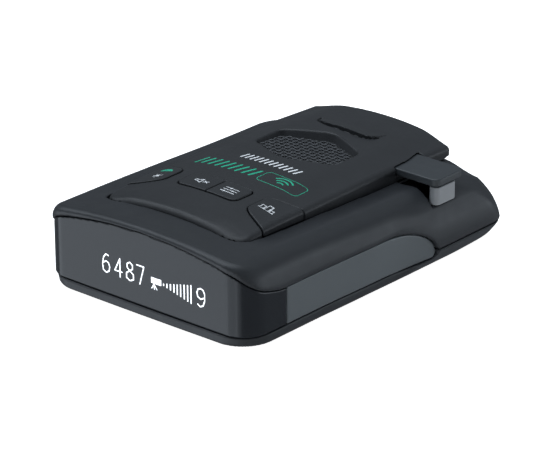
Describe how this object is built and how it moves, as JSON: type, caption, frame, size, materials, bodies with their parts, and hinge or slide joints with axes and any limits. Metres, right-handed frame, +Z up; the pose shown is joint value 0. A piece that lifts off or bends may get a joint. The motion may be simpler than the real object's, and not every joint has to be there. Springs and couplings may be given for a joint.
{
  "type": "radar detector",
  "caption": "Windscreen-mounted radar detector with a wrap-round display window, a raised key panel with a speaker grille, and a sprung release lever for its bracket.",
  "frame": {"origin": "centre of the body's box, on the surface that the underside stands on", "axes": "+Z up through the key panel, +Y from the display end to the windscreen end, +X to the right as the display is read"},
  "size_m": [0.0772, 0.1036, 0.0275],
  "materials": {
    "shell": "fine satin texture",
    "panel": "soft matt",
    "smoked": "polished smoked plastic",
    "trim": "semi-gloss",
    "grille": "fine open mesh",
    "light_grey": "satin",
    "dark_plastic": "moulded",
    "circuit_board": "solder mask",
    "steel": "bright",
    "cast_metal": "as cast",
    "ceramic": "fired",
    "paper": "pressed fibre",
    "red_filter": "polished dark filter",
    "label": "blank satin foil"
  },
  "bodies": {
    "body": {"top_cover": "shell", "bottom_cover": "shell", "display_window": "smoked", "side_trim_right": "trim", "side_trim_left": "trim", "centre_panel": "panel", "speaker_grille": "grille", "switch_dim": "steel", "switch_mute": "steel", "switch_prog": "steel", "switch_city": "steel", "key_board": "circuit_board", "speaker_frame": "steel", "speaker_cone": "paper", "speaker_magnet": "steel", "main_board": "circuit_board", "processor": "dark_plastic", "gps_antenna": "ceramic", "wifi_module": "steel", "backup_capacitor": "dark_plastic", "display_module": "dark_plastic", "display_flex": "ceramic", "horn_antenna": "cast_metal", "rf_board": "circuit_board", "rf_shield": "steel", "power_jack": "dark_plastic", "data_port": "steel", "laser_window": "red_filter", "laser_sensor": "dark_plastic", "release_spring": "steel", "housing_screw_1": "steel", "housing_screw_2": "steel", "housing_screw_3": "steel", "housing_screw_4": "steel", "rating_label": "label"},
    "key_dim": {"key_dim": "panel", "plunger_dim": "dark_plastic"},
    "key_mute": {"key_mute": "panel", "plunger_mute": "dark_plastic"},
    "key_prog": {"key_prog": "panel", "plunger_prog": "dark_plastic"},
    "key_city": {"key_city": "panel", "plunger_city": "dark_plastic"},
    "release": {"release_lever": "panel", "release_tip": "light_grey"}
  },
  "joints": [
    {"name": "dim_press", "type": "slide", "parent": "body", "child": "key_dim", "axis": [0, 0, -1], "range_m": [0, 0.0005], "stiffness_N_per_m": 800},
    {"name": "mute_press", "type": "slide", "parent": "body", "child": "key_mute", "axis": [0, 0, -1], "range_m": [0, 0.0005], "stiffness_N_per_m": 800},
    {"name": "prog_press", "type": "slide", "parent": "body", "child": "key_prog", "axis": [0, 0, -1], "range_m": [0, 0.0005], "stiffness_N_per_m": 800},
    {"name": "city_press", "type": "slide", "parent": "body", "child": "key_city", "axis": [0, 0, -1], "range_m": [0, 0.0005], "stiffness_N_per_m": 800},
    {"name": "release_push", "type": "slide", "parent": "body", "child": "release", "axis": [-1, 0, 0], "range_m": [0, 0.002], "stiffness_N_per_m": 900, "deforming": ["release_spring"]}
  ]
}
